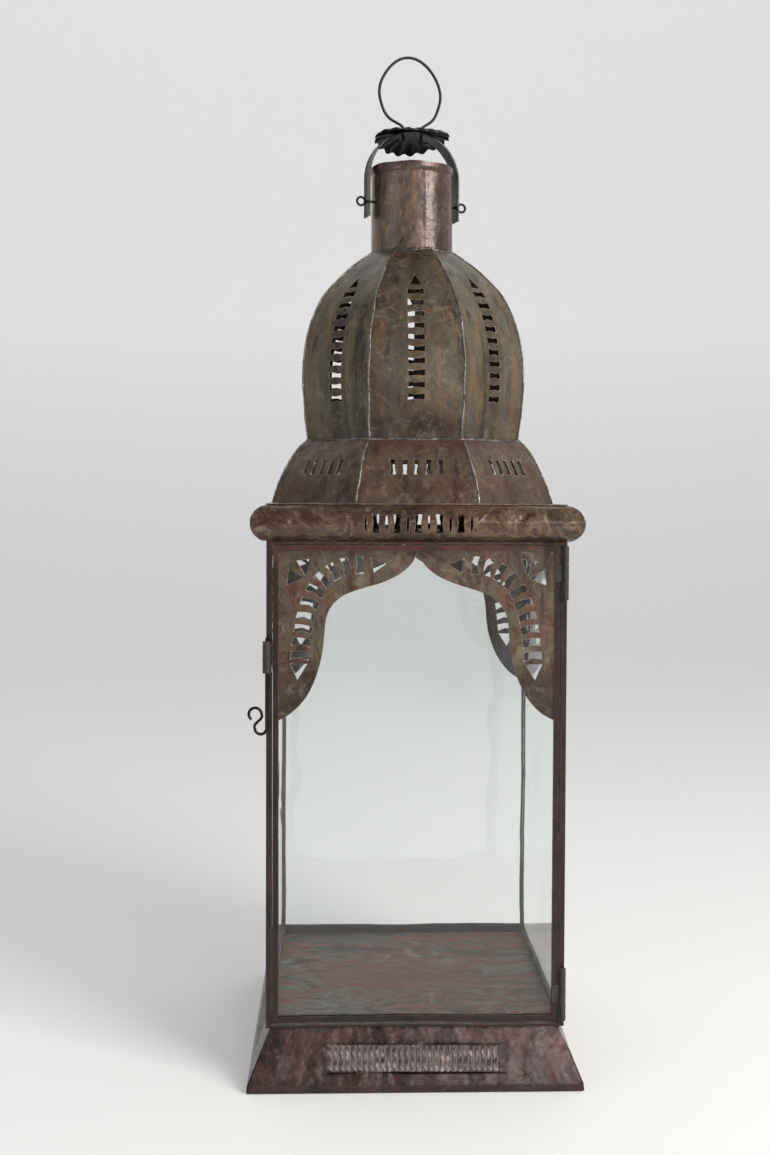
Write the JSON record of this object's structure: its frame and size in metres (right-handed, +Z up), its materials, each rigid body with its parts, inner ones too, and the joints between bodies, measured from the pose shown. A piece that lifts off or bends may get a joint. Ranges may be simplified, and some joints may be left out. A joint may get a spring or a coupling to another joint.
{
  "type": "metal lantern",
  "caption": "Square glazed sheet-iron lantern with pierced bracket corners, hinged door, half-round cornice, octagonal pierced dome, chimney, bail and hanging ring",
  "frame": {"origin": "Middle of the base, on the surface the lantern stands on.", "axes": "+Z up along the lantern's axis; front (the door) faces -Y; hinges on the +X side."},
  "size_m": [0.23, 0.23, 0.732],
  "materials": {
    "skirt_iron": "lacquered sheet iron with red-brown and violet-grey patina",
    "floor_iron": "sheet iron with streaked grey-green and rust patina",
    "frame_iron": "folded iron strip, dark brown patina under lacquer",
    "bracket_iron": "pierced sheet iron, brown and green patina",
    "cornice_iron": "half-round sheet iron, red-brown patina with glossy lacquer",
    "dome_iron": "hammered sheet iron, green-grey and golden-brown streaked patina",
    "chimney_iron": "rolled sheet iron, dark red-brown patina",
    "black_iron": "blackened iron wire and strap",
    "solder": "dull grey soft solder",
    "glass": "clear window glass"
  },
  "bodies": {
    "lantern": {"skirt_front": "skirt_iron", "skirt_right": "skirt_iron", "skirt_back": "skirt_iron", "skirt_left": "skirt_iron", "skirt_corner_seams": "solder", "floor_pan": "floor_iron", "post_front_left": "frame_iron", "post_front_right": "frame_iron", "post_back_right": "frame_iron", "post_back_left": "frame_iron", "bottom_rails": "frame_iron", "top_rails": "frame_iron", "glass_right": "glass", "brackets_right": "bracket_iron", "glass_back": "glass", "brackets_back": "bracket_iron", "glass_left": "glass", "brackets_left": "bracket_iron", "cornice_front": "cornice_iron", "cornice_right": "cornice_iron", "cornice_back": "cornice_iron", "cornice_left": "cornice_iron", "cornice_top_plate": "cornice_iron", "bell_panel_1": "dome_iron", "bell_panel_2": "dome_iron", "bell_panel_3": "dome_iron", "bell_panel_4": "dome_iron", "bell_panel_5": "dome_iron", "bell_panel_6": "dome_iron", "bell_panel_7": "dome_iron", "bell_panel_8": "dome_iron", "bell_seams": "solder", "dome_gore_1": "dome_iron", "dome_gore_2": "dome_iron", "dome_gore_3": "dome_iron", "dome_gore_4": "dome_iron", "dome_gore_5": "dome_iron", "dome_gore_6": "dome_iron", "dome_gore_7": "dome_iron", "dome_gore_8": "dome_iron", "dome_seams": "solder", "chimney": "chimney_iron", "bail_pin_left": "black_iron", "bail_pin_right": "black_iron", "hinge_frame_knuckles": "frame_iron", "hinge_pins": "black_iron", "latch_barrel": "frame_iron"},
    "door": {"door_bottom_rail": "frame_iron", "door_top_rail": "frame_iron", "door_latch_stile": "frame_iron", "door_hinge_stile": "frame_iron", "door_glass": "glass", "door_brackets": "bracket_iron", "hinge_door_knuckles": "frame_iron"},
    "latch": {"latch_wire": "black_iron"},
    "bail": {"bail_strap": "black_iron", "rosette": "black_iron"},
    "ring": {"hang_ring": "black_iron"}
  },
  "joints": [
    {"name": "door_swing", "type": "hinge", "parent": "lantern", "child": "door", "pos_m": [0.1012, -0.10465, 0.208], "axis": [0, 0, 1], "range_deg": [0, 120]},
    {"name": "latch_turn", "type": "hinge", "parent": "lantern", "child": "latch", "pos_m": [-0.102, -0.1064, 0.295], "axis": [0, 0, 1], "range_deg": [-45, 180]},
    {"name": "bail_swing", "type": "hinge", "parent": "lantern", "child": "bail", "pos_m": [0, 0, 0.622], "axis": [0.9563, 0.2924, 0], "range_deg": [-90, 90]},
    {"name": "ring_rock", "type": "hinge", "parent": "bail", "child": "ring", "pos_m": [0, 0, 0.6752], "axis": [0.9563, 0.2924, 0], "range_deg": [-12, 12]}
  ]
}
